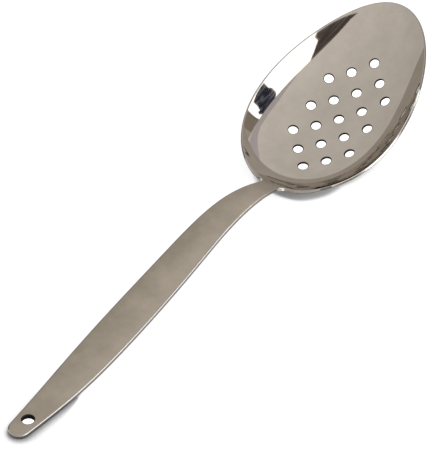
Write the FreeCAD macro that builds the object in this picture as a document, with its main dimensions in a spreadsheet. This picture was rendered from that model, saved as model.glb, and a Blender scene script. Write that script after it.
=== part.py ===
"""Perforated serving spoon, pressed, punched and ground from one piece of stainless steel.

The spoon lies as it comes to rest: its long axis on X with the tip of the bowl at +X, the hollow
up and the table at z = 0. The heel of the bowl and the end of the handle touch the table.
Millimetres throughout. The origin is under the middle of the spoon, on the table.
"""
import FreeCAD
import Part
import math
import os

Vec = FreeCAD.Vector

# Driving sizes: a name, a value and what it is.
SIZES = [
    ("overall_length", 330.4, "end of the handle to the tip of the bowl"),
    ("handle_gauge", 2.7, "thickness of the handle"),
    ("bowl_gauge", 1.3, "thickness of the bowl, thinned by the press"),
    ("edge_bevel", 0.3, "width and depth of the ground edge at both faces"),
    ("bowl_length", 119.0, "length of the rim in plan"),
    ("bowl_half_width", 40.3, "half width of the rim at its middle"),
    ("egg_taper", 0.105, "how much the rim narrows toward the tip"),
    ("egg_fullness", 0.0105, "how full the middle of the rim is"),
    ("egg_shoulder", 0.0155, "how square the shoulders of the rim are"),
    ("rim_rise", 21.2, "rise of the rim from the middle of the bowl to the tip"),
    ("rim_lip", 2.7, "extra lift of the rim at its two ends"),
    ("bowl_depth", 17.0, "depth of the hollow under the rim"),
    ("wall_steepness", 0.63, "0 for an even dish, 1 for a flat floor and steep walls"),
    ("neck_run", 26.0, "length over which the flat handle turns into the hollow"),
    ("neck_half_width", 4.9, "half width of the handle where it meets the bowl"),
    ("neck_fillet", 4.5, "radius in plan between the handle and the rim"),
    ("end_round", 5.5, "radius of the end of the handle"),
    ("tail_from_end", 40.0, "place of the first half width, from the end of the handle"),
    ("tail_half_width", 8.65, "half width of the handle there"),
    ("grip_half_width", 10.1, "half width of the handle at its widest"),
    ("shoulder_half_width", 8.5, "half width of the handle under its crown"),
    ("nape_half_width", 6.65, "half width of the handle midway between its crown and the rim"),
    ("grip_height", 7.9, "upper face over the table at two fifths of the arch"),
    ("arch_height", 14.9, "upper face over the table at three quarters of the arch"),
    ("crown_height", 19.0, "upper face over the table at the highest point of the handle"),
    ("crown_to_neck", 41.4, "distance from that point to the rim"),
    ("drain_bore", 5.6, "bore of a drain hole"),
    ("drain_pitch_along", 16.8, "pitch of the drain holes along the spoon"),
    ("drain_pitch_across", 8.7, "distance between two rows of drain holes"),
    ("drain_centre_to_tip", 57.4, "middle hole of the pattern to the tip of the bowl"),
    ("hang_bore", 6.4, "bore of the hanging hole"),
    ("hang_from_end", 11.6, "hanging hole from the end of the handle"),
]

doc = FreeCAD.newDocument("perforated_spoon")
sheet = doc.addObject("Spreadsheet::Sheet", "sizes")
for row, (alias, value, meaning) in enumerate(SIZES, start=1):
    sheet.set("A%d" % row, alias)
    sheet.set("B%d" % row, str(value))
    sheet.set("C%d" % row, meaning)
    sheet.setAlias("B%d" % row, alias)
doc.recompute()


def size(alias):
    return float(getattr(sheet, alias))


# Stations along X, measured from the end of the handle.
LENGTH = size("overall_length")
HALF_BOWL = size("bowl_length") / 2
BOWL_X = LENGTH - HALF_BOWL
NECK_X = LENGTH - size("bowl_length")
CROWN_X = NECK_X - size("crown_to_neck")
NAPE_X = NECK_X - 0.52 * size("crown_to_neck")
REST_X = 2 * size("hang_from_end")
GRIP_X = REST_X + 0.39 * (CROWN_X - REST_X)
ARCH_X = REST_X + 0.73 * (CROWN_X - REST_X)
WIDEST_X = 0.59 * CROWN_X
SHOULDER_X = 0.94 * CROWN_X

# Where the spine of the handle runs on into the keel of the bowl, as a share of the half bowl.
JOIN_SHARE = 0.95
JOIN_X = BOWL_X - JOIN_SHARE * HALF_BOWL


def ease(x, start, end):
    """0 before start, 1 after end, and a smooth step between them."""
    t = min(1.0, max(0.0, (x - start) / (end - start)))
    return t**3 * (10 - 15 * t + 6 * t * t)


def slope(function, x, step=0.01):
    return (function(x + step) - function(x - step)) / (2 * step)


def gauge(x):
    """Thickness of the metal, which thins from the handle to the bowl around the neck."""
    thinned = ease(x, NECK_X - size("neck_run"), NECK_X + size("neck_run"))
    return size("handle_gauge") + (size("bowl_gauge") - size("handle_gauge")) * thinned


# The bowl: a dish hung under an egg-shaped rim that rises toward the tip.
def egg_half_width(share):
    """Half width of the rim, whose share runs from -1 at the neck to 1 at the tip."""
    return size("bowl_half_width") * (
        1
        - size("egg_taper") * share
        - size("egg_fullness") * (2 * share**2 - 1)
        + size("egg_shoulder") * (4 * share**3 - 3 * share)
    )


def dish(x, y):
    """Height of the hollow's surface, measured from the rim at the middle of the bowl."""
    share = (x - BOWL_X) / HALF_BOWL
    rim = size("rim_rise") * share + size("rim_lip") * share**4
    reach = share**2 + (y / egg_half_width(share)) ** 2
    steep = size("wall_steepness")
    return rim - size("bowl_depth") * (1 - (1 - steep) * reach - steep * reach**2)


def heel_level():
    """Lowest level of the underside along the keel, where the bowl stands on the table."""
    keel = [JOIN_X + 0.25 * i for i in range(int(4 * HALF_BOWL))]
    return min(
        dish(x, 0) - gauge(x) / math.hypot(1, slope(lambda u: dish(u, 0), x)) for x in keel
    )


RIM_LEVEL = -heel_level()


def bowl_level(x, y):
    return RIM_LEVEL + dish(x, y)


# The spine: side view of the handle's upper face, from its end to the keel of the bowl.
def spline(points, first_tangent, last_tangent):
    curve = Part.BSplineCurve()
    curve.interpolate(Points=points, InitialTangent=first_tangent, FinalTangent=last_tangent)
    return curve


spine = spline(
    [
        Vec(0, 0, size("handle_gauge")),
        Vec(REST_X, 0, size("handle_gauge")),
        Vec(GRIP_X, 0, size("grip_height")),
        Vec(ARCH_X, 0, size("arch_height")),
        Vec(CROWN_X, 0, size("crown_height")),
        Vec(JOIN_X, 0, bowl_level(JOIN_X, 0)),
    ],
    Vec(1, 0, 0),
    Vec(1, 0, slope(lambda x: bowl_level(x, 0), JOIN_X)),
)


def spine_level(x):
    """Height of the spine at x, found by halving the curve's parameter."""
    low = spine.FirstParameter
    high = spine.LastParameter
    for _ in range(40):
        middle = (low + high) / 2
        if spine.value(middle).x < x:
            low = middle
        else:
            high = middle
    return spine.value(low).z


# The formed metal: one smooth plate, flat across the handle and hollow in the bowl.
def top_point(x, y):
    """Point of the upper face of the plate over a point of the plan."""
    middle = spine_level(x) if x < JOIN_X else bowl_level(x, 0)
    hollow = ease(x, NECK_X - size("neck_run") / 2, NECK_X + size("neck_run") / 2)
    return Vec(x, y, middle + hollow * (bowl_level(x, y) - bowl_level(x, 0)))


def top_normal(x, y, step=0.05):
    along = top_point(x + step, y) - top_point(x - step, y)
    across = top_point(x, y + step) - top_point(x, y - step)
    return along.cross(across).normalize()


PLATE_MARGIN = 6.0
PLATE_ROWS = 11
HANDLE_COLUMNS = 16
NECK_COLUMNS = 16
BOWL_COLUMNS = 12


def plate_stations():
    """Places of the sections of the plate along X, closest around the neck."""
    start = -PLATE_MARGIN
    neck_start = NECK_X - size("neck_run")
    neck_end = NECK_X + size("neck_run")
    end = LENGTH + PLATE_MARGIN
    handle = [start + (neck_start - start) * i / HANDLE_COLUMNS for i in range(HANDLE_COLUMNS)]
    neck = [neck_start + (neck_end - neck_start) * i / NECK_COLUMNS for i in range(NECK_COLUMNS)]
    bowl = [neck_end + (end - neck_end) * i / BOWL_COLUMNS for i in range(BOWL_COLUMNS + 1)]
    return handle + neck + bowl


def plate_half_width(x):
    """Half width of the plate before its outline is cut, a little wider than the spoon."""
    bulge = max(0.0, 1 - ((x - BOWL_X + 4) / (1.25 * HALF_BOWL)) ** 2) ** 2
    narrow = size("grip_half_width") + PLATE_MARGIN
    return narrow + bulge * (size("bowl_half_width") + 1.6 * PLATE_MARGIN - narrow)


def face_through(grid):
    surface = Part.BSplineSurface()
    surface.interpolate(grid)
    return surface.toShape()


def formed_plate():
    """Upper face, the lower face one gauge under it, and a ruled face along each border."""
    upper = []
    lower = []
    across = [2.0 * j / (PLATE_ROWS - 1) - 1 for j in range(PLATE_ROWS)]
    for x in plate_stations():
        ways = [plate_half_width(x) * share for share in across]
        upper.append([top_point(x, y) for y in ways])
        lower.append([top_point(x, y) - top_normal(x, y) * gauge(x) for y in ways])
    faces = [face_through(upper), face_through(lower)]
    for edge in faces[0].Edges:
        middle = edge.CenterOfMass
        below = min(faces[1].Edges, key=lambda e: e.CenterOfMass.distanceToPoint(middle))
        faces.append(Part.makeRuledSurface(edge, below))
    shell = Part.makeShell(faces)
    shell.sewShape()
    return Part.makeSolid(shell)


# The outline in plan: the egg of the bowl and the strip of the handle, with a fillet at the neck.
PLAN_TALL = 10.0
EGG_POINTS = 40


def egg_prism():
    curve = Part.BSplineCurve()
    points = []
    for i in range(EGG_POINTS):
        angle = 2 * math.pi * i / EGG_POINTS
        share = math.cos(angle)
        half = egg_half_width(share)
        points.append(Vec(BOWL_X + HALF_BOWL * share, half * math.sin(angle), 0))
    curve.interpolate(Points=points, PeriodicFlag=True)
    return Part.Face(Part.Wire(curve.toShape())).extrude(Vec(0, 0, PLAN_TALL))


def handle_prism():
    """Strip that swells from its round end to the grip and narrows to the neck."""
    radius = size("end_round")
    flare = math.atan2(size("tail_half_width") - radius, size("tail_from_end") - radius)
    inside = NECK_X + size("neck_fillet") + size("neck_run") / 4
    far = [
        Vec(radius - radius * math.sin(flare), radius * math.cos(flare), 0),
        Vec(size("tail_from_end"), size("tail_half_width"), 0),
        Vec(WIDEST_X, size("grip_half_width"), 0),
        Vec(SHOULDER_X, size("shoulder_half_width"), 0),
        Vec(NAPE_X, size("nape_half_width"), 0),
        Vec(NECK_X, size("neck_half_width"), 0),
        Vec(inside, size("neck_half_width"), 0),
    ]
    near = [Vec(p.x, -p.y, 0) for p in far]
    ahead = Vec(1, 0, 0)
    far_side = spline(far, Vec(math.cos(flare), math.sin(flare), 0), ahead).toShape()
    near_side = spline(near, Vec(math.cos(flare), -math.sin(flare), 0), ahead).toShape()
    end = Part.Arc(near[0], Vec(0, 0, 0), far[0]).toShape()
    closing = Part.LineSegment(near[-1], far[-1]).toShape()
    outline = Part.Wire(Part.__sortEdges__([far_side, near_side, end, closing]))
    return Part.Face(outline).extrude(Vec(0, 0, PLAN_TALL))


def neck_edges(prism):
    """The two upright edges where the sides of the handle run into the rim."""
    found = []
    for edge in prism.Edges:
        box = edge.BoundBox
        upright = box.XLength < 0.01 and box.YLength < 0.01
        off_axis = abs(box.YMin) > size("neck_half_width") / 2
        if upright and off_axis and abs(box.XMin - NECK_X) < size("neck_run") / 4:
            found.append(edge)
    return found


def outline_wire():
    plan = egg_prism().fuse(handle_prism()).removeSplitter()
    plan = plan.makeFillet(size("neck_fillet"), neck_edges(plan))
    flat = [face for face in plan.Faces if face.BoundBox.ZLength < 0.01]
    return min(flat, key=lambda face: face.CenterOfMass.z).OuterWire


# The cut and the grinding: a wall through the plate along each edge of the outline, square to the
# metal, with a bevel that falls back toward each face.
WALL_REACH = 0.8
WALL_STEP = 4.0
NECK_STEP = 0.6
FUSE_TOLERANCE = 1e-4


def outward(point, tangent):
    """Direction in the plate, square to the outline and away from the metal."""
    step = tangent * 0.05
    ahead = top_point(point.x + step.x, point.y + step.y)
    behind = top_point(point.x - step.x, point.y - step.y)
    direction = (ahead - behind).cross(top_normal(point.x, point.y)).normalize()
    axis_x = min(max(point.x, size("end_round")), BOWL_X)
    away = Vec(point.x - axis_x, point.y, 0)
    return direction if direction.dot(away) > 0 else -direction


def wall_section(point, tangent):
    """The four corners of the wall's section, from over the upper face to under the lower one."""
    normal = top_normal(point.x, point.y)
    upper = top_point(point.x, point.y)
    out = outward(point, tangent)
    bevel = size("edge_bevel")
    thick = gauge(point.x)
    return [
        upper + normal * WALL_REACH - out * (bevel + WALL_REACH),
        upper - normal * bevel,
        upper - normal * (thick - bevel),
        upper - normal * (thick + WALL_REACH) - out * (bevel + WALL_REACH),
    ]


def outline_walls(outline):
    walls = []
    for edge in outline.OrderedEdges:
        step = NECK_STEP if edge.Length < 4 * size("neck_fillet") else WALL_STEP
        run = edge.discretize(max(6, int(edge.Length / step)) + 1)
        sections = []
        for point in run:
            sections.append(wall_section(point, edge.tangentAt(edge.Curve.parameter(point))))
        lines = []
        for corner in zip(*sections):
            line = Part.BSplineCurve()
            line.interpolate(Points=list(corner))
            lines.append(line.toShape())
        for line, following in zip(lines, lines[1:]):
            walls.append(Part.makeRuledSurface(line, following))
    return walls


def cut_blank(plate, walls):
    pieces = plate.generalFuse(walls, FUSE_TOLERANCE)[0].Solids
    inside = top_point(CROWN_X, 0) - top_normal(CROWN_X, 0) * (gauge(CROWN_X) / 2)
    return next(piece for piece in pieces if piece.isInside(inside, 0.01, True))


plate = doc.addObject("Part::Feature", "plate")
plate.Label = "formed plate"
plate.Shape = formed_plate()

blank = doc.addObject("Part::Feature", "blank")
blank.Label = "blank cut to outline"
blank.Shape = cut_blank(plate.Shape, outline_walls(outline_wire()))


# The drain holes: five rows along the spoon, set half a pitch apart, square to the metal.
ROWS_EACH_SIDE = 2
MIDDLE_ROW_HOLES = 5


def drain_centres():
    middle_x = LENGTH - size("drain_centre_to_tip")
    centres = []
    for row in range(-ROWS_EACH_SIDE, ROWS_EACH_SIDE + 1):
        holes = MIDDLE_ROW_HOLES - abs(row)
        for hole in range(holes):
            along = (hole - (holes - 1) / 2) * size("drain_pitch_along")
            centres.append((middle_x + along, row * size("drain_pitch_across")))
    return centres


drills = []
for number, (x, y) in enumerate(drain_centres(), start=1):
    drill = doc.addObject("Part::Cylinder", "drain_drill_%02d" % number)
    drill.setExpression("Radius", "sizes.drain_bore / 2")
    drill.setExpression("Height", "3 * sizes.bowl_gauge")
    start = top_point(x, y) - top_normal(x, y) * (2 * size("bowl_gauge"))
    drill.Placement = FreeCAD.Placement(start, FreeCAD.Rotation(Vec(0, 0, 1), top_normal(x, y)))
    drills.append(drill)

# The hanging hole, straight through the end of the handle.
hang_drill = doc.addObject("Part::Cylinder", "hang_drill")
hang_drill.setExpression("Radius", "sizes.hang_bore / 2")
hang_drill.setExpression("Height", "3 * sizes.handle_gauge")
hang_drill.setExpression("Placement.Base.x", "sizes.hang_from_end")
hang_drill.setExpression("Placement.Base.z", "-sizes.handle_gauge")
drills.append(hang_drill)

drilling = doc.addObject("Part::MultiFuse", "drilling")
drilling.Label = "all holes"
drilling.Shapes = drills

spoon = doc.addObject("Part::Cut", "spoon")
spoon.Label = "spoon"
spoon.Base = blank
spoon.Tool = drilling
outer = blank.Shape.optimalBoundingBox(False)
MIDDLE_X = (outer.XMin + outer.XMax) / 2
spoon.Placement.Base = Vec(-MIDDLE_X, 0, -outer.ZMin)
doc.recompute()

for item in doc.Objects:
    if "Invalid" in item.State or "Error" in item.State:
        raise RuntimeError("%s did not build: %s" % (item.Label, item.State))
if spoon.Shape.isNull() or not spoon.Shape.isValid() or len(spoon.Shape.Solids) != 1:
    raise RuntimeError("the spoon is not one valid solid")

os.makedirs("parts", exist_ok=True)
spoon.Shape.exportStep("parts/spoon.step")
print("spoon: %.1f mm3, %d faces" % (spoon.Shape.Volume, len(spoon.Shape.Faces)))
print("length %.2f, height %.2f" % (outer.XLength, outer.ZLength))
print("moved by %.3f along X and %.3f up" % (-MIDDLE_X, -outer.ZMin))
print("rim over the table at the middle of the bowl %.2f" % RIM_LEVEL)
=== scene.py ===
"""Looks of the perforated serving spoon: polished bowl, satin handle, plain studio."""

import math

import bpy
import numpy as np
from mathutils import Matrix, Vector
from mathutils.geometry import delaunay_2d_cdt


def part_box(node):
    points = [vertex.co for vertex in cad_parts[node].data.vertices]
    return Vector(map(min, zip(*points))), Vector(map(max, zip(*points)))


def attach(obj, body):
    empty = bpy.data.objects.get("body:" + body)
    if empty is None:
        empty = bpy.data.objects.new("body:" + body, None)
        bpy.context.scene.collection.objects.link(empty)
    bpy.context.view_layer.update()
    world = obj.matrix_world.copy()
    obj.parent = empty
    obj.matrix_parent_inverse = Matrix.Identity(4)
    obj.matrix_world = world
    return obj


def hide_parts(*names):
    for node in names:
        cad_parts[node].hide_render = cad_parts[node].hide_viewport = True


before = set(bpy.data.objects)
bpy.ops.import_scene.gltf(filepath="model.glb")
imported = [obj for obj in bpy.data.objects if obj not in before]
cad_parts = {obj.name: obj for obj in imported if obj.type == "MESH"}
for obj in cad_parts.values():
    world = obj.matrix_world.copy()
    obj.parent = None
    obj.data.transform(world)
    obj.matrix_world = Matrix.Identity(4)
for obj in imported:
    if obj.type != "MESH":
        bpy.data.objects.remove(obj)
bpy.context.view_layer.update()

# Sizes of the spoon in millimetres, from the end of the handle: those of the CAD model.
MM = 0.001
LENGTH = 330.4
HANDLE_GAUGE = 2.7
BOWL_GAUGE = 1.3
BOWL_LENGTH = 119.0
BOWL_HALF_WIDTH = 40.3
EGG_TAPER = 0.105
EGG_FULLNESS = 0.0105
EGG_SHOULDER = 0.0155
RIM_RISE = 21.2
RIM_LIP = 2.7
BOWL_DEPTH = 17.0
WALL_STEEPNESS = 0.63
NECK_RUN = 26.0
NECK_HALF_WIDTH = 4.9
NECK_FILLET = 4.5
END_ROUND = 5.5
TAIL_FROM_END = 40.0
TAIL_HALF_WIDTH = 8.65
GRIP_HALF_WIDTH = 10.1
SHOULDER_HALF_WIDTH = 8.5
NAPE_HALF_WIDTH = 6.65
GRIP_HEIGHT = 7.9
ARCH_HEIGHT = 14.9
CROWN_HEIGHT = 19.0
CROWN_TO_NECK = 41.4
DRAIN_BORE = 5.6
DRAIN_ROWS = 5
DRAIN_PITCH_ALONG = 16.8
DRAIN_PITCH_ACROSS = 8.7
DRAIN_CENTRE_TO_TIP = 57.4
HANG_BORE = 6.4
HANG_FROM_END = 11.6

# Where the curves have their points, as shares of the stretches that the next lines name.
GRIP_SHARE = 0.39
ARCH_SHARE = 0.73
WIDEST_SHARE = 0.59
SHOULDER_SHARE = 0.94
NAPE_SHARE = 0.52
JOIN_SHARE = 0.95

HALF_BOWL = BOWL_LENGTH / 2
BOWL_X = LENGTH - HALF_BOWL
NECK_X = LENGTH - BOWL_LENGTH
CROWN_X = NECK_X - CROWN_TO_NECK
REST_X = 2 * HANG_FROM_END
GRIP_X = REST_X + GRIP_SHARE * (CROWN_X - REST_X)
ARCH_X = REST_X + ARCH_SHARE * (CROWN_X - REST_X)
WIDEST_X = WIDEST_SHARE * CROWN_X
SHOULDER_X = SHOULDER_SHARE * CROWN_X
NAPE_X = NECK_X - NAPE_SHARE * CROWN_TO_NECK
JOIN_X = BOWL_X - JOIN_SHARE * HALF_BOWL

# The model's frame has its origin under the middle of the spoon. The mesh is lifted a little, so
# that its heel stays over the table.
ORIGIN_X = -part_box("spoon")[0].x / MM
TABLE_Z = 0.08

# Radii of the ground edges, in millimetres. The handle's edge runs into the rim's a little past
# the neck, and the face around a hole ends a little outside the bore.
HANDLE_EDGE = 0.75
BOWL_EDGE = 0.4
EDGE_PAST_NECK = 4
HOLE_EDGE = 0.42
HANG_EDGE = 0.4
HOLE_FLARE = 0.14

# Fineness of the curves and the mesh: GRID is the distance between points inside the outline,
# in millimetres, and the two shares below it are shares of it.
CURVE_SAMPLES = 2000
NEWTON_STEPS = 4
HALVINGS = 50
SLOPE_STEP = 0.01
EGG_POINTS = 200
FILLET_POINTS = 24
END_POINTS = 14
HANDLE_STRIDE = 8
LEAST_GAP = 0.02
ARC_STEPS = 6
HOLE_POINTS = 48
GRID = 1.05
ROW_SHARE = 0.866
BORDER_SHARE = 0.55
MERGE_DISTANCE = 1e-6

# Materials of the metal, in their order. The fourth and fifth are the steel darkened with painted
# shade, the sixth is the steel brightened with a painted highlight, and the satin one carries
# painted light across the handle.
POLISHED, SATIN, EDGE, HOLE_SHADE, SHADED_SIDE, LIT = range(6)

# Where the materials change, in millimetres. The rim has a painted highlight on its near side,
# toward -Y, and the handle's far edge a painted dark line.
SATIN_END = NECK_X + 2
NECK_GLINT = 7
HIGHLIGHT_END = 160.0
LIT_START = 224.0
LIT_END = 291.0
FAR_EDGE = 3.0


def ease(x, start, end):
    """0 before start, 1 after end, and a smooth step between them."""
    t = np.clip((x - start) / (end - start), 0, 1)
    return t**3 * (10 - 15 * t + 6 * t * t)


class Spline:
    """A smooth curve through points of a plane, with given directions at its two ends."""

    def __init__(self, points, first, last):
        self.points = np.array(points, float)
        steps = np.linalg.norm(np.diff(self.points, axis=0), axis=1)
        self.knots = np.concatenate([[0], np.cumsum(steps)])
        count = len(self.points)
        matrix = np.eye(count)
        right = np.zeros((count, 2))
        right[0] = first
        right[-1] = last
        for i in range(1, count - 1):
            before = steps[i - 1]
            after = steps[i]
            matrix[i, i - 1] = after
            matrix[i, i] = 2 * (before + after)
            matrix[i, i + 1] = before
            rise_before = (self.points[i] - self.points[i - 1]) / before
            rise_after = (self.points[i + 1] - self.points[i]) / after
            right[i] = 3 * (after * rise_before + before * rise_after)
        self.speeds = np.linalg.solve(matrix, right)

    def at(self, t):
        t = np.atleast_1d(t)
        i = np.clip(np.searchsorted(self.knots, t, side="right") - 1, 0, len(self.knots) - 2)
        span = (self.knots[i + 1] - self.knots[i])[:, None]
        u = (t - self.knots[i])[:, None] / span
        start = self.points[i]
        end = self.points[i + 1]
        return (
            start * (1 + 2 * u) * (1 - u) ** 2
            + end * u * u * (3 - 2 * u)
            + self.speeds[i] * span * u * (1 - u) ** 2
            - self.speeds[i + 1] * span * u * u * (1 - u)
        )

    def height(self, x):
        """Second coordinate where the first is x, for a curve that runs along X."""
        dense = np.linspace(0, self.knots[-1], CURVE_SAMPLES)
        table = self.at(dense)
        t = np.interp(x, table[:, 0], dense)
        step = 1e-3
        for _ in range(NEWTON_STEPS):
            here = self.at(t)[:, 0]
            speed = (self.at(t + step)[:, 0] - self.at(t - step)[:, 0]) / (2 * step)
            t = np.clip(t - (here - x) / speed, 0, self.knots[-1])
        return self.at(t)[:, 1]


def gauge(x):
    """Thickness of the metal."""
    thinned = ease(x, NECK_X - NECK_RUN, NECK_X + NECK_RUN)
    return HANDLE_GAUGE + (BOWL_GAUGE - HANDLE_GAUGE) * thinned


def egg_half_width(share):
    """Half width of the egg whose rim runs from share -1 at the neck to share 1 at the tip."""
    return BOWL_HALF_WIDTH * (
        1
        - EGG_TAPER * share
        - EGG_FULLNESS * (2 * share**2 - 1)
        + EGG_SHOULDER * (4 * share**3 - 3 * share)
    )


def dish(x, y):
    """Height of the hollow's surface, measured from the rim at the middle of the bowl."""
    share = (x - BOWL_X) / HALF_BOWL
    rim = RIM_RISE * share + RIM_LIP * share**4
    reach = share**2 + (y / egg_half_width(share)) ** 2
    return rim - BOWL_DEPTH * (1 - (1 - WALL_STEEPNESS) * reach - WALL_STEEPNESS * reach**2)


def keel_slope(x):
    return (dish(x + SLOPE_STEP, 0) - dish(x - SLOPE_STEP, 0)) / (2 * SLOPE_STEP)


def heel_level():
    """Lowest point of the bowl's lower face, measured like the dish."""
    spacing = 0.25
    keel = JOIN_X + spacing * np.arange(int(HALF_BOWL / spacing))
    return (dish(keel, 0) - gauge(keel) / np.hypot(1, keel_slope(keel))).min()


RIM_LEVEL = -heel_level()
JOIN_SLOPE = keel_slope(JOIN_X)
spine = Spline(
    [
        (0, HANDLE_GAUGE),
        (REST_X, HANDLE_GAUGE),
        (GRIP_X, GRIP_HEIGHT),
        (ARCH_X, ARCH_HEIGHT),
        (CROWN_X, CROWN_HEIGHT),
        (JOIN_X, RIM_LEVEL + dish(JOIN_X, 0)),
    ],
    (1, 0),
    np.array([1, JOIN_SLOPE]) / math.hypot(1, JOIN_SLOPE),
)


def top_level(x, y):
    """Height of the upper face over the table."""
    keel = RIM_LEVEL + dish(x, 0)
    middle = np.where(x < JOIN_X, spine.height(np.clip(x, 0, JOIN_X)), keel)
    hollow = ease(x, NECK_X - NECK_RUN / 2, NECK_X + NECK_RUN / 2)
    return middle + hollow * (dish(x, y) - dish(x, 0))


def top_points(plan):
    return np.column_stack([plan, top_level(plan[:, 0], plan[:, 1])])


def unit(vectors):
    return vectors / np.linalg.norm(vectors, axis=1)[:, None]


def top_slopes(plan):
    step = 0.02
    x = plan[:, 0]
    y = plan[:, 1]
    along = (top_level(x + step, y) - top_level(x - step, y)) / (2 * step)
    across = (top_level(x, y + step) - top_level(x, y - step)) / (2 * step)
    return along, across


def top_normals(plan):
    along, across = top_slopes(plan)
    return unit(np.column_stack([-along, -across, np.ones(len(plan))]))


# Outline in plan, counter-clockwise from the tip of the bowl.
def egg_points(angles):
    share = np.cos(angles)
    return np.column_stack([BOWL_X + HALF_BOWL * share, egg_half_width(share) * np.sin(angles)])


def handle_side(flare):
    """Far side of the handle, from its rounded end to a point inside the bowl."""
    inside = NECK_X + NECK_FILLET + NECK_RUN / 4
    return Spline(
        [
            (END_ROUND - END_ROUND * math.sin(flare), END_ROUND * math.cos(flare)),
            (TAIL_FROM_END, TAIL_HALF_WIDTH),
            (WIDEST_X, GRIP_HALF_WIDTH),
            (SHOULDER_X, SHOULDER_HALF_WIDTH),
            (NAPE_X, NAPE_HALF_WIDTH),
            (NECK_X, NECK_HALF_WIDTH),
            (inside, NECK_HALF_WIDTH),
        ],
        (math.cos(flare), math.sin(flare)),
        (1, 0),
    )


def fillet_centre(angle):
    """Centre of a fillet that touches the rim from outside, at an angle of the egg."""
    step = 1e-4
    here, ahead = egg_points(np.array([angle, angle + step]))
    run = (ahead - here) / np.linalg.norm(ahead - here)
    return here + NECK_FILLET * np.array([run[1], -run[0]])


def far_outline():
    """Far side of the outline, from the tip of the bowl to the end of the handle."""
    flare = math.atan2(TAIL_HALF_WIDTH - END_ROUND, TAIL_FROM_END - END_ROUND)
    side = handle_side(flare)
    low_angle = math.pi / 2
    high_angle = math.pi
    for _ in range(HALVINGS):
        angle = (low_angle + high_angle) / 2
        centre = fillet_centre(angle)
        if centre[1] - side.height(centre[:1])[0] > NECK_FILLET:
            low_angle = angle
        else:
            high_angle = angle
    touch = egg_points(np.array([angle]))[0]
    egg = egg_points(np.linspace(0, angle, EGG_POINTS))
    start = math.atan2(touch[1] - centre[1], touch[0] - centre[0])
    sweep = np.linspace(start, -math.pi / 2, FILLET_POINTS)[1:-1]
    fillet = centre + NECK_FILLET * np.column_stack([np.cos(sweep), np.sin(sweep)])
    samples = side.at(np.linspace(0, side.knots[-1], CURVE_SAMPLES))
    handle = samples[samples[:, 0] < centre[0]][::-1]
    bend = np.linspace(math.pi / 2 + flare, math.pi, END_POINTS)
    end = np.column_stack([END_ROUND + END_ROUND * np.cos(bend), END_ROUND * np.sin(bend)])
    return np.vstack([egg, fillet, handle[::HANDLE_STRIDE], end[1:]])


def whole_outline():
    far = far_outline()
    near = far[1:-1][::-1] * [1, -1]
    loop = np.vstack([far, near])
    gaps = np.linalg.norm(loop - np.roll(loop, 1, axis=0), axis=1)
    return loop[gaps > LEAST_GAP]


def outward(plan):
    """Direction in the metal's face, square to a counter-clockwise loop and away from the metal."""
    run = np.roll(plan, -1, axis=0) - np.roll(plan, 1, axis=0)
    along, across = top_slopes(plan)
    rise = along * run[:, 0] + across * run[:, 1]
    return unit(np.cross(np.column_stack([run, rise]), top_normals(plan)))


def edge_radius(x):
    thinned = ease(x, NECK_X - NECK_RUN, NECK_X + EDGE_PAST_NECK)
    return HANDLE_EDGE + (BOWL_EDGE - HANDLE_EDGE) * thinned


def inset(plan, radius):
    """The loop moved into the metal by the radius of its edge."""
    moved = top_points(plan) - outward(plan) * radius[:, None]
    return moved[:, :2]


class Mesh:
    """Vertices with their normals, and faces with the number of their material."""

    def __init__(self):
        self.places = []
        self.normals = []
        self.faces = []
        self.kinds = []
        self.count = 0

    def add(self, places, normals):
        first = self.count
        self.places.append(places)
        self.normals.append(normals)
        self.count += len(places)
        return np.arange(first, self.count)

    def face(self, corners, kind):
        self.faces.append([int(c) for c in corners])
        self.kinds.append(kind)


def add_edge(mesh, upper, lower, plan, out, radius, top_kinds, side_kinds, low_kind):
    """Rings of faces from the upper face's border round the edge to the lower face's border."""
    places = top_points(plan)
    normals = top_normals(plan)
    thick = gauge(plan[:, 0])[:, None]
    radius = radius[:, None]
    angles = np.linspace(0, math.pi / 2, ARC_STEPS + 1)
    rings = [upper]
    for angle in angles[1:]:
        place = places + out * radius * math.sin(angle) - normals * radius * (1 - math.cos(angle))
        rings.append(mesh.add(place, out * math.sin(angle) + normals * math.cos(angle)))
    for angle in angles[::-1][:-1]:
        deep = thick - radius * (1 - math.cos(angle))
        place = places + out * radius * math.sin(angle) - normals * deep
        rings.append(mesh.add(place, out * math.sin(angle) - normals * math.cos(angle)))
    rings.append(lower)
    count = len(plan)
    for number, (ring, below) in enumerate(zip(rings, rings[1:])):
        for i in range(count):
            k = (i + 1) % count
            if number < ARC_STEPS:
                kind = top_kinds[i]
            elif number == ARC_STEPS:
                kind = side_kinds[i]
            else:
                kind = low_kind
            mesh.face([ring[i], below[i], below[k], ring[k]], kind)


# Holes: each is a clockwise loop in plan, so that outward() points into the hole.
def hole_loop(centre, bore):
    normal = top_normals(np.array([centre]))[0]
    first = np.cross([0, 1, 0], normal)
    first /= np.linalg.norm(first)
    second = np.cross(normal, first)
    angles = -2 * math.pi * np.arange(HOLE_POINTS) / HOLE_POINTS
    ring = np.outer(np.cos(angles), first) + np.outer(np.sin(angles), second)
    return np.array(centre) + (bore / 2 + HOLE_FLARE) * ring[:, :2]


def drain_centres():
    """Rows along the spoon: the middle one is the longest, and each next one has a hole less."""
    centres = []
    outer_row = DRAIN_ROWS // 2
    for row in range(-outer_row, outer_row + 1):
        holes = DRAIN_ROWS - abs(row)
        for hole in range(holes):
            along = (hole - (holes - 1) / 2) * DRAIN_PITCH_ALONG
            centres.append((LENGTH - DRAIN_CENTRE_TO_TIP + along, row * DRAIN_PITCH_ACROSS))
    return centres


def clear_of(points, loop, distance):
    """Which points are further than a distance from every point of a loop."""
    clear = np.ones(len(points), bool)
    at_once = 60
    for part in np.array_split(loop, max(1, len(loop) // at_once)):
        gaps = np.linalg.norm(points[:, None, :] - part[None, :, :], axis=2).min(axis=1)
        clear &= gaps > distance
    return clear


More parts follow.
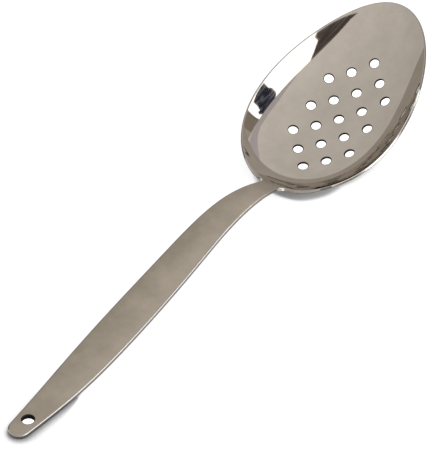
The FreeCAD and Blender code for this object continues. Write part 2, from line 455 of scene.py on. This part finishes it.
def plan_grid(outline, holes):
    """Points inside the outline, clear of it and of the holes."""
    xs = np.arange(0, LENGTH, GRID)
    margin = 1.1
    half_rows = int(BOWL_HALF_WIDTH * margin / (GRID * ROW_SHARE))
    points = []
    for row in range(-half_rows, half_rows + 1):
        shift = GRID / 2 if row % 2 else 0
        points.append(np.column_stack([xs + shift, np.full(len(xs), row * GRID * ROW_SHARE)]))
    points = np.vstack(points)
    following = np.roll(outline, -1, axis=0)
    inside = np.zeros(len(points), bool)
    for a, b in zip(outline, following):
        spans = (a[1] > points[:, 1]) != (b[1] > points[:, 1])
        if spans.any():
            cross = a[0] + (points[:, 1] - a[1]) * (b[0] - a[0]) / (b[1] - a[1])
            inside ^= spans & (points[:, 0] < cross)
    points = points[inside]
    clear = np.ones(len(points), bool)
    for border in [outline] + holes:
        clear &= clear_of(points, border, BORDER_SHARE * GRID)
    hole_share = 0.8
    for hole in holes:
        centre = hole.mean(axis=0)
        reach = np.linalg.norm(hole - centre, axis=1).max()
        clear &= np.linalg.norm(points - centre, axis=1) > hole_share * reach
    return points[clear]


def inside_loop(point, loop):
    x, y = point
    following = np.roll(loop, -1, axis=0)
    spans = (loop[:, 1] > y) != (following[:, 1] > y)
    a = loop[spans]
    b = following[spans]
    cross = a[:, 0] + (y - a[:, 1]) * (b[:, 0] - a[:, 0]) / (b[:, 1] - a[:, 1])
    return (np.count_nonzero(cross > x) % 2) == 1


def triangulate(border, holes):
    """Points in plan, the triangles between border and holes, and the points of each loop."""
    loops = [border] + holes
    verts = np.vstack(loops + [plan_grid(border, holes)])
    edges = []
    first = 0
    for loop in loops:
        count = len(loop)
        edges += [(first + i, first + (i + 1) % count) for i in range(count)]
        first += count
    region = [list(range(len(border)))]
    only_inside = 1
    found = delaunay_2d_cdt(
        [Vector(v) for v in verts], edges, region, only_inside, MERGE_DISTANCE
    )
    plan = np.array([tuple(v) for v in found[0]])
    source = {}
    for new, olds in enumerate(found[3]):
        for old in olds:
            source[old] = new
    triangles = []
    hole_reach = 8
    for tri in found[2]:
        middle = plan[list(tri)].mean(axis=0)
        near = [h for h in holes if np.linalg.norm(h[0] - middle) < hole_reach]
        if not any(inside_loop(middle, h) for h in near):
            triangles.append(tri)
    first = 0
    rings = []
    for loop in loops:
        rings.append(np.array([source[first + i] for i in range(len(loop))]))
        first += len(loop)
    return plan, triangles, rings


def rim_kinds(border):
    """Materials of the outer edge: of its upper rounding and of its side. The side, the lower
    rounding and the upper rounding of the handle's far edge are steel darkened with painted shade,
    except at the neck; a stretch of the near rim has a painted highlight.
    """
    on_handle = border[:, 0] < SATIN_END - NECK_GLINT
    at_neck = np.abs(border[:, 0] - SATIN_END) < NECK_GLINT
    # Painted highlight: on this stretch of the near rim the steel is brighter.
    lit = (border[:, 1] < 0) & (border[:, 0] > LIT_START) & (border[:, 0] < LIT_END)
    sides = np.where(at_neck, EDGE, SHADED_SIDE)
    sides[lit] = LIT
    tops = np.where(on_handle & (border[:, 0] > HIGHLIGHT_END), SATIN, EDGE)
    tops[lit] = LIT
    tops[on_handle & (border[:, 1] > FAR_EDGE)] = SHADED_SIDE
    return tops, sides


def spoon_mesh():
    mesh = Mesh()
    outline = whole_outline()
    radius = edge_radius(outline[:, 0])
    border = inset(outline, radius)
    drains = [hole_loop(centre, DRAIN_BORE) for centre in drain_centres()]
    hang = hole_loop((HANG_FROM_END, 0.0), HANG_BORE)
    holes = drains + [hang]
    plan, triangles, rings = triangulate(border, holes)

    normals = top_normals(plan)
    upper = mesh.add(top_points(plan), normals)
    lower = mesh.add(top_points(plan) - normals * gauge(plan[:, 0])[:, None], -normals)
    for a, b, c in triangles:
        kind = SATIN if plan[[a, b, c], 0].mean() < SATIN_END else POLISHED
        mesh.face([upper[a], upper[b], upper[c]], kind)
        mesh.face([lower[a], lower[c], lower[b]], kind)

    tops, sides = rim_kinds(border)
    rim = rings[0]
    # The outer edge's lower rounding is the steel darkened with painted shade.
    add_edge(mesh, upper[rim], lower[rim], border, outward(outline), radius, tops, sides, SHADED_SIDE)
    for loop, ring in zip(holes, rings[1:]):
        # A hole's rounding and wall are the steel darkened with painted shade.
        rounding = np.full(len(loop), HANG_EDGE if loop is hang else HOLE_EDGE)
        walls = np.full(len(loop), HOLE_SHADE)
        add_edge(mesh, upper[ring], lower[ring], loop, outward(loop), rounding, walls, walls, HOLE_SHADE)
    return mesh


def make_object(name, mesh, materials):
    places = np.vstack(mesh.places)
    places[:, 0] -= ORIGIN_X
    places[:, 2] += TABLE_Z
    data = bpy.data.meshes.new(name)
    data.from_pydata((places * MM).tolist(), [], mesh.faces)
    data.polygons.foreach_set("material_index", mesh.kinds)
    data.polygons.foreach_set("use_smooth", [True] * len(mesh.faces))
    for material in materials:
        data.materials.append(material)
    data.update()
    data.normals_split_custom_set_from_vertices(np.vstack(mesh.normals).tolist())
    piece = bpy.data.objects.new(name, data)
    bpy.context.scene.collection.objects.link(piece)
    return piece


# Nodes that the materials and the sky share. Each function gives back what the new node puts out.
def add_noise(tree, place, scale, detail, roughness=0.5):
    node = tree.nodes.new("ShaderNodeTexNoise")
    node.inputs["Scale"].default_value = scale
    node.inputs["Detail"].default_value = detail
    node.inputs["Roughness"].default_value = roughness
    tree.links.new(place, node.inputs["Vector"])
    return node.outputs["Fac"]


def add_stretch(tree, place, scale):
    node = tree.nodes.new("ShaderNodeMapping")
    node.inputs["Scale"].default_value = scale
    tree.links.new(place, node.inputs["Vector"])
    return node.outputs["Vector"]


def add_axes(tree, place):
    """The three coordinates of a place, by their letters."""
    node = tree.nodes.new("ShaderNodeSeparateXYZ")
    tree.links.new(place, node.inputs["Vector"])
    return node.outputs


def add_math(tree, operation, first, second):
    """Sum, product or the like of two values, each a socket or a number."""
    node = tree.nodes.new("ShaderNodeMath")
    node.operation = operation
    for socket, value in zip(node.inputs, (first, second)):
        if isinstance(value, (int, float)):
            socket.default_value = value
        else:
            tree.links.new(value, socket)
    return node.outputs[0]


def add_vector_math(tree, operation, place, vector=(0, 0, 0)):
    node = tree.nodes.new("ShaderNodeVectorMath")
    node.operation = operation
    node.inputs[1].default_value = vector
    tree.links.new(place, node.inputs[0])
    return node.outputs


def add_range(tree, value, given, wanted):
    """The value, clamped to the given range and carried over to the wanted one."""
    node = tree.nodes.new("ShaderNodeMapRange")
    names = ("From Min", "From Max", "To Min", "To Max")
    for name, number in zip(names, (*given, *wanted)):
        node.inputs[name].default_value = number
    tree.links.new(value, node.inputs["Value"])
    return node.outputs["Result"]


def add_tones(tree, share, first, last, start=0.0, end=1.0):
    """A colour from the first, where the share is at start, to the last, where it is at end."""
    node = tree.nodes.new("ShaderNodeValToRGB")
    low, high = node.color_ramp.elements
    low.position = start
    low.color = (*first, 1)
    high.position = end
    high.color = (*last, 1)
    tree.links.new(share, node.inputs["Fac"])
    return node.outputs["Color"]


def new_material(name):
    material = bpy.data.materials.new(name)
    material.use_nodes = True
    return material, material.node_tree


# Steels: the handle's far side is toward +Y, and its brushing runs along X. Across its width the
# handle's tone runs from the darker far colour to the lighter near one: painted shade on the far
# side and painted light on the near side.
BOWL_DARK = (0.5208, 0.48825, 0.4464)
BOWL_LIGHT = (0.588, 0.55125, 0.5088)
BOWL_ROUGHNESS = (0.035, 0.075)
HANDLE_FAR_SHADE = (0.36, 0.325, 0.275)
HANDLE_NEAR_LIGHT = (0.505, 0.46, 0.40)
HANDLE_REACH = 0.010
HANDLE_CLOUD = 0.42
HANDLE_ROUGHNESS = (0.30, 0.42)
BRUSHING = (12, 1500, 1500)


def new_steel(name):
    material, tree = new_material(name)
    shader = tree.nodes["Principled BSDF"]
    shader.inputs["Metallic"].default_value = 1
    return material, tree, shader


def polished_steel():
    """Mirror with a faint haze and a mottled tone."""
    material, tree, shader = new_steel("polished_steel")
    place = tree.nodes.new("ShaderNodeTexCoord").outputs["Object"]
    haze = add_noise(tree, place, scale=60, detail=3)
    roughness = add_range(tree, haze, (0, 1), BOWL_ROUGHNESS)
    tree.links.new(roughness, shader.inputs["Roughness"])
    mottle = add_noise(tree, place, scale=90, detail=6, roughness=0.7)
    tone = add_tones(tree, mottle, BOWL_DARK, BOWL_LIGHT, start=0.3, end=0.7)
    tree.links.new(tone, shader.inputs["Base Color"])
    return material


def satin_steel():
    """Brushed metal, with painted light that makes it lighter toward its near side, and a little
    cloudy.
    """
    material, tree, shader = new_steel("satin_steel")
    place = tree.nodes.new("ShaderNodeTexCoord").outputs["Object"]
    side = add_axes(tree, place)["Y"]
    # Painted light: the tone grows lighter from the far side to the near side.
    across = add_range(tree, side, (HANDLE_REACH, -HANDLE_REACH), (0, 1))
    cloud = add_noise(tree, place, scale=55, detail=5, roughness=0.65)
    cloud = add_range(tree, cloud, (0.3, 0.7), (-HANDLE_CLOUD, HANDLE_CLOUD))
    tone = add_tones(tree, add_math(tree, "ADD", across, cloud), HANDLE_FAR_SHADE, HANDLE_NEAR_LIGHT)
    tree.links.new(tone, shader.inputs["Base Color"])
    streaks = add_noise(tree, add_stretch(tree, place, BRUSHING), scale=1, detail=4)
    roughness = add_range(tree, streaks, (0, 1), HANDLE_ROUGHNESS)
    tree.links.new(roughness, shader.inputs["Roughness"])
    bump = tree.nodes.new("ShaderNodeBump")
    bump.inputs["Strength"].default_value = 0.06
    bump.inputs["Distance"].default_value = 0.0002
    tree.links.new(streaks, bump.inputs["Height"])
    tree.links.new(bump.outputs["Normal"], shader.inputs["Normal"])
    return material


def plain_steel(name, colour, roughness):
    material, tree, shader = new_steel(name)
    shader.inputs["Base Color"].default_value = (*colour, 1)
    shader.inputs["Roughness"].default_value = roughness
    return material


steels = [
    polished_steel(),
    satin_steel(),
    plain_steel("ground_edge", (0.44, 0.42, 0.395), 0.2),
    # Painted shade: steel darkened for the holes' roundings and walls.
    plain_steel("punched_wall_painted_shade", (0.035, 0.033, 0.03), 0.5),
    # Painted shade: steel darkened for the outer side walls and the handle's far edge.
    plain_steel("side_wall_painted_shade", (0.17, 0.158, 0.145), 0.35),
    # Painted highlight: steel brightened for the near rim.
    plain_steel("rim_front_painted_highlight", (0.88, 0.86, 0.83), 0.15),
]
spoon = make_object("spoon_metal", spoon_mesh(), steels)
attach(spoon, "root")
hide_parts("spoon")


# Stage, in metres: a white floor, and walls and a ceiling of light for the metal to mirror.
def plane(name, corners, material):
    data = bpy.data.meshes.new(name)
    data.from_pydata(corners, [], [list(range(len(corners)))])
    data.materials.append(material)
    piece = bpy.data.objects.new(name, data)
    bpy.context.scene.collection.objects.link(piece)
    return piece


def card(name, corners, material):
    """Plane that the camera doesn't see, so that it hides the spoon from no side."""
    plane(name, corners, material).visible_camera = False


def glow(name, colour, strength=1, streaks=None):
    """Light of one colour, or with streaks: their scale along the axes and their colour."""
    material, tree = new_material(name)
    tree.nodes.clear()
    light = tree.nodes.new("ShaderNodeEmission")
    light.inputs["Color"].default_value = (*colour, 1)
    light.inputs["Strength"].default_value = strength
    if streaks:
        scale, second = streaks
        place = tree.nodes.new("ShaderNodeNewGeometry").outputs["Position"]
        noise = add_noise(tree, add_stretch(tree, place, scale), scale=1, detail=3)
        tone = add_tones(tree, noise, colour, second, start=0.48, end=0.66)
        tree.links.new(tone, light.inputs["Color"])
    out = tree.nodes.new("ShaderNodeOutputMaterial")
    tree.links.new(light.outputs["Emission"], out.inputs["Surface"])
    return material


# Floor: each spot is a centre and two half axes, and each reach is how far the shadow spreads
# under a part of the spoon, with the stretch along X over which that reach changes. The floor
# is in shadow where something stands in the direction of SHADOW_LEAN.
FLOOR_HALF = 6.0
FLOOR_COLOUR = (0.55, 0.575, 0.61)
FLOOR_GLOW = 0.68
SPOT_GLOW = 1.2
# The two spots are painted light: for the camera the floor glows white there, under the spoon,
# where its shadow falls.
DRAIN_SPOT = ((0.120, 0.010), (0.056, 0.033))
HANG_SPOT = ((-0.152, 0.0012), (0.0042, 0.0042))
SPOT_BORDER = (0.95, 1.05)
END_REACH = 0.0085
END_STRETCH = (-0.155, -0.127)
ARCH_REACH = 0.0010
HEEL_REACH = 0.0055
HEEL_STRETCH = (0.02, 0.05)
BOWL_REACH = 0.0145
BOWL_STRETCH = (0.05, 0.11)
SHADOW_LEAN = (0.30, 0.30, 0.90)
SHADOW_RANGE = (0.60, 0.92)
SHADOW_DEPTH = -0.2


def add_spot(tree, place, centre, reach):
    """1 inside an ellipse on the floor and 0 outside it."""
    shifted = add_vector_math(tree, "SUBTRACT", place, (*centre, 0))[0]
    scaled = add_vector_math(tree, "DIVIDE", shifted, (*reach, 1))[0]
    length = add_vector_math(tree, "LENGTH", scaled)["Value"]
    return add_range(tree, length, SPOT_BORDER, (1, 0))


def add_open_share(tree, place):
    """1 on the open floor, and less close under the spoon."""
    x = add_axes(tree, place)["X"]
    at_end = add_range(tree, x, END_STRETCH, (END_REACH, ARCH_REACH))
    at_heel = add_range(tree, x, HEEL_STRETCH, (0, HEEL_REACH))
    at_bowl = add_range(tree, x, BOWL_STRETCH, (0, BOWL_REACH))
    reach = add_math(tree, "MAXIMUM", at_end, at_heel)
    reach = add_math(tree, "MAXIMUM", reach, at_bowl)
    lean = tree.nodes.new("ShaderNodeCombineXYZ")
    for axis, value in zip("XYZ", SHADOW_LEAN):
        lean.inputs[axis].default_value = value
    covered = tree.nodes.new("ShaderNodeAmbientOcclusion")
    covered.samples = 8
    tree.links.new(reach, covered.inputs["Distance"])
    tree.links.new(lean.outputs["Vector"], covered.inputs["Normal"])
    share = add_range(tree, covered.outputs["AO"], SHADOW_RANGE, (SHADOW_DEPTH, 1))
    return add_math(tree, "MAXIMUM", share, 0.0)


def floor_material():
    """White paper that keeps the shadows close to the spoon, and has painted light that makes it
    white behind its holes.
    """
    material, tree = new_material("floor_white")
    tree.nodes.clear()
    path = tree.nodes.new("ShaderNodeLightPath")
    camera_ray = path.outputs["Is Camera Ray"]
    seen = add_math(tree, "MAXIMUM", camera_ray, path.outputs["Is Glossy Ray"])
    seen = add_math(tree, "MAXIMUM", seen, path.outputs["Is Transmission Ray"])
    place = tree.nodes.new("ShaderNodeNewGeometry").outputs["Position"]
    paper = add_math(tree, "MULTIPLY", add_open_share(tree, place), FLOOR_GLOW)
    paper = add_math(tree, "MULTIPLY", paper, seen)
    drains = add_spot(tree, place, *DRAIN_SPOT)
    mirrored = add_math(tree, "SUBTRACT", 1.0, camera_ray)
    shaded = add_math(tree, "MULTIPLY", drains, mirrored)
    lit_part = add_math(tree, "SUBTRACT", 1.0, shaded)
    paper = add_math(tree, "MULTIPLY", paper, lit_part)
    spots = add_math(tree, "MAXIMUM", drains, add_spot(tree, place, *HANG_SPOT))
    spots = add_math(tree, "MULTIPLY", spots, SPOT_GLOW)
    spots = add_math(tree, "MULTIPLY", spots, camera_ray)
    white = tree.nodes.new("ShaderNodeEmission")
    white.inputs["Color"].default_value = (1, 1, 1, 1)
    tree.links.new(add_math(tree, "MAXIMUM", paper, spots), white.inputs["Strength"])
    matte = tree.nodes.new("ShaderNodeBsdfDiffuse")
    matte.inputs["Color"].default_value = (*FLOOR_COLOUR, 1)
    both = tree.nodes.new("ShaderNodeAddShader")
    tree.links.new(matte.outputs["BSDF"], both.inputs[0])
    tree.links.new(white.outputs["Emission"], both.inputs[1])
    out = tree.nodes.new("ShaderNodeOutputMaterial")
    tree.links.new(both.outputs["Shader"], out.inputs["Surface"])
    return material


plane(
    "floor",
    [
        (-FLOOR_HALF, -FLOOR_HALF, 0),
        (FLOOR_HALF, -FLOOR_HALF, 0),
        (FLOOR_HALF, FLOOR_HALF, 0),
        (-FLOOR_HALF, FLOOR_HALF, 0),
    ],
    floor_material(),
)

# What the mirror of the bowl shows: a side wall across -Y with bright and dark parts. Of two
# cards that overlap, the one that stands nearer hides the other.
WALL_Y = -1.0
CEILING_Z = 1.19
DAYLIGHT = (1, 0.98, 0.96)
LOW_DAYLIGHT = (1, 0.98, 0.95)


def oblong(left, right, bottom, top):
    return [(left, bottom), (right, bottom), (right, top), (left, top)]


def wall_card(name, corners, material, nearer=0.0):
    """Upright card in the side wall, from the places of its corners along X and Z."""
    card(name, [(x, WALL_Y + nearer, z) for x, z in corners], material)


wall_card("pale_wall", oblong(-1.45, -0.20, 0.0, 1.0), glow("pale_wall", (1, 0.97, 0.94), 0.95))
wall_card(
    "window",
    [
        (-0.60, 0.03),
        (1.10, 0.03),
        (1.10, CEILING_Z),
        (-0.155, CEILING_Z),
        (-0.196, 0.971),
        (-0.228, 0.771),
        (-0.171, 0.638),
        (-0.20, 0.50),
        (-0.60, 0.50),
    ],
    glow("window", DAYLIGHT, 2.4),
    nearer=0.002,
)
wall_card(
    "dark_corner",
    [
        (-0.198, 0.60),
        (-0.171, 0.638),
        (-0.228, 0.771),
        (-0.196, 0.971),
        (-0.155, CEILING_Z),
        (-1.0, CEILING_Z),
        (-1.36, 1.33),
        (-0.90, 1.0),
        (-0.575, 0.79),
        (-0.34, 0.66),
    ],
    glow("dark_corner", (0.085, 0.066, 0.06), streaks=((2.0, 1.0, 14.0), (0.21, 0.18, 0.165))),
    nearer=0.006,
)
wall_card(
    "dark_door",
    [
        (0.474, 0.53),
        (0.547, 0.53),
        (0.675, 0.555),
        (0.827, 0.61),
        (0.807, 0.756),
        (0.847, 0.964),
        (0.913, 0.928),
        (0.951, 1.039),
        (0.905, CEILING_Z),
        (0.47, CEILING_Z),
        (0.414, 1.132),
        (0.393, 1.004),
        (0.40, 0.818),
        (0.448, 0.686),
    ],
    glow("dark_door", (0.03, 0.03, 0.045), streaks=((3.5, 1.0, 11.0), (0.20, 0.22, 0.28))),
    nearer=0.008,
)
wall_card(
    "brown_strip",
    [(1.10, 0.55), (1.16, 0.55), (1.16, CEILING_Z), (1.09, CEILING_Z)],
    glow("brown_strip", (0.17, 0.15, 0.14)),
    nearer=0.006,
)
wall_card(
    "brown_wall",
    oblong(1.16, 1.95, 0.30, CEILING_Z),
    glow("brown_wall", (0.32, 0.275, 0.225)),
    nearer=0.004,
)
wall_card(
    "tan_wall",
    oblong(1.95, 4.5, 0.30, CEILING_Z),
    glow("tan_wall", (0.50, 0.45, 0.40)),
    nearer=0.004,
)
wall_card(
    "low_window",
    oblong(-0.55, 1.15, 0.04, 0.50),
    glow("low_window", LOW_DAYLIGHT, 3.6),
    nearer=0.012,
)
wall_card(
    "low_window_right",
    [(1.30, 0.03), (5.0, 0.03), (5.0, 0.62), (1.30, 0.40)],
    glow("low_window_right", LOW_DAYLIGHT, 3.6),
    nearer=0.012,
)
card(
    "dark_left",
    [(-1.1, -0.95, 0.0), (-1.1, 1.6, 0.0), (-1.1, 1.6, 0.30), (-1.1, -0.95, 0.30)],
    glow("dark_left", (0.10, 0.09, 0.085)),
)
card(
    "grey_ceiling",
    [
        (0.02, WALL_Y, CEILING_Z),
        (0.06, -0.94, CEILING_Z),
        (0.38, -0.77, CEILING_Z),
        (0.67, -0.77, CEILING_Z),
        (1.06, -0.75, CEILING_Z),
        (1.3, -0.68, CEILING_Z),
        (1.57, -0.54, CEILING_Z),
        (2.1, -0.22, CEILING_Z),
        (4.5, 0.6, CEILING_Z),
        (4.5, -0.7, CEILING_Z),
        (1.9, -0.95, CEILING_Z),
        (1.2, WALL_Y, CEILING_Z),
    ],
    glow("grey_ceiling", (0.59, 0.55, 0.57)),
)

# Sky: a warm grey room, lighter toward -Y and a little cloudy.
SKY_DARK = (0.655, 0.617, 0.572)
SKY_LIGHT = (0.86, 0.815, 0.765)
SKY_CLOUD = 0.13


def make_sky():
    world = bpy.data.worlds.new("studio")
    bpy.context.scene.world = world
    world.use_nodes = True
    tree = world.node_tree
    around = tree.nodes.new("ShaderNodeTexCoord").outputs["Generated"]
    cloud = add_noise(tree, around, scale=2.2, detail=2)
    cloud = add_range(tree, cloud, (0.36, 0.62), (-SKY_CLOUD, SKY_CLOUD))
    side = add_range(tree, add_axes(tree, around)["Y"], (1.0, -0.5), (0.05, 0.95))
    tone = add_tones(tree, add_math(tree, "ADD", cloud, side), SKY_DARK, SKY_LIGHT)
    backdrop = tree.nodes["Background"]
    backdrop.inputs["Strength"].default_value = 1.0
    tree.links.new(tone, backdrop.inputs["Color"])


make_sky()

# Camera: the photograph's viewing angle. LOOK_X and LOOK_HEIGHT, in millimetres from the end
# of the handle and over the table, are the point that it shows at LOOK_PIXEL.
CAMERA_TURN = math.radians(55.01)
CAMERA_RISE = math.radians(40.21)
CAMERA_DISTANCE = 1.1812
LOOK_X = 165.0
LOOK_HEIGHT = 10.0
LOOK_AT = Vector(((LOOK_X - ORIGIN_X) * MM, 0, LOOK_HEIGHT * MM))
PIXELS_PER_MM = 2.0188
FRAME_WIDTH = 440
FRAME_HEIGHT = 450
LOOK_PIXEL = (220.5, 229.6)
SENSOR = 36.0

toward = Vector(
    (
        -math.sin(CAMERA_TURN) * math.cos(CAMERA_RISE),
        -math.cos(CAMERA_TURN) * math.cos(CAMERA_RISE),
        math.sin(CAMERA_RISE),
    )
)
right = Vector((math.cos(CAMERA_TURN), -math.sin(CAMERA_TURN), 0))
up = toward.cross(right)
lens = bpy.data.cameras.new("camera")
lens.sensor_fit = "HORIZONTAL"
lens.sensor_width = SENSOR
lens.lens = PIXELS_PER_MM * CAMERA_DISTANCE / MM * SENSOR / FRAME_WIDTH
lens.shift_x = (FRAME_WIDTH / 2 - LOOK_PIXEL[0]) / FRAME_WIDTH
lens.shift_y = (LOOK_PIXEL[1] - FRAME_HEIGHT / 2) / FRAME_WIDTH
lens.clip_start = 0.05
lens.clip_end = 50
camera = bpy.data.objects.new("camera", lens)
bpy.context.scene.collection.objects.link(camera)
turn = Matrix((right, up, toward)).transposed().to_4x4()
camera.matrix_world = Matrix.Translation(LOOK_AT + toward * CAMERA_DISTANCE) @ turn
bpy.context.scene.camera = camera
bpy.context.scene.view_settings.view_transform = "Standard"
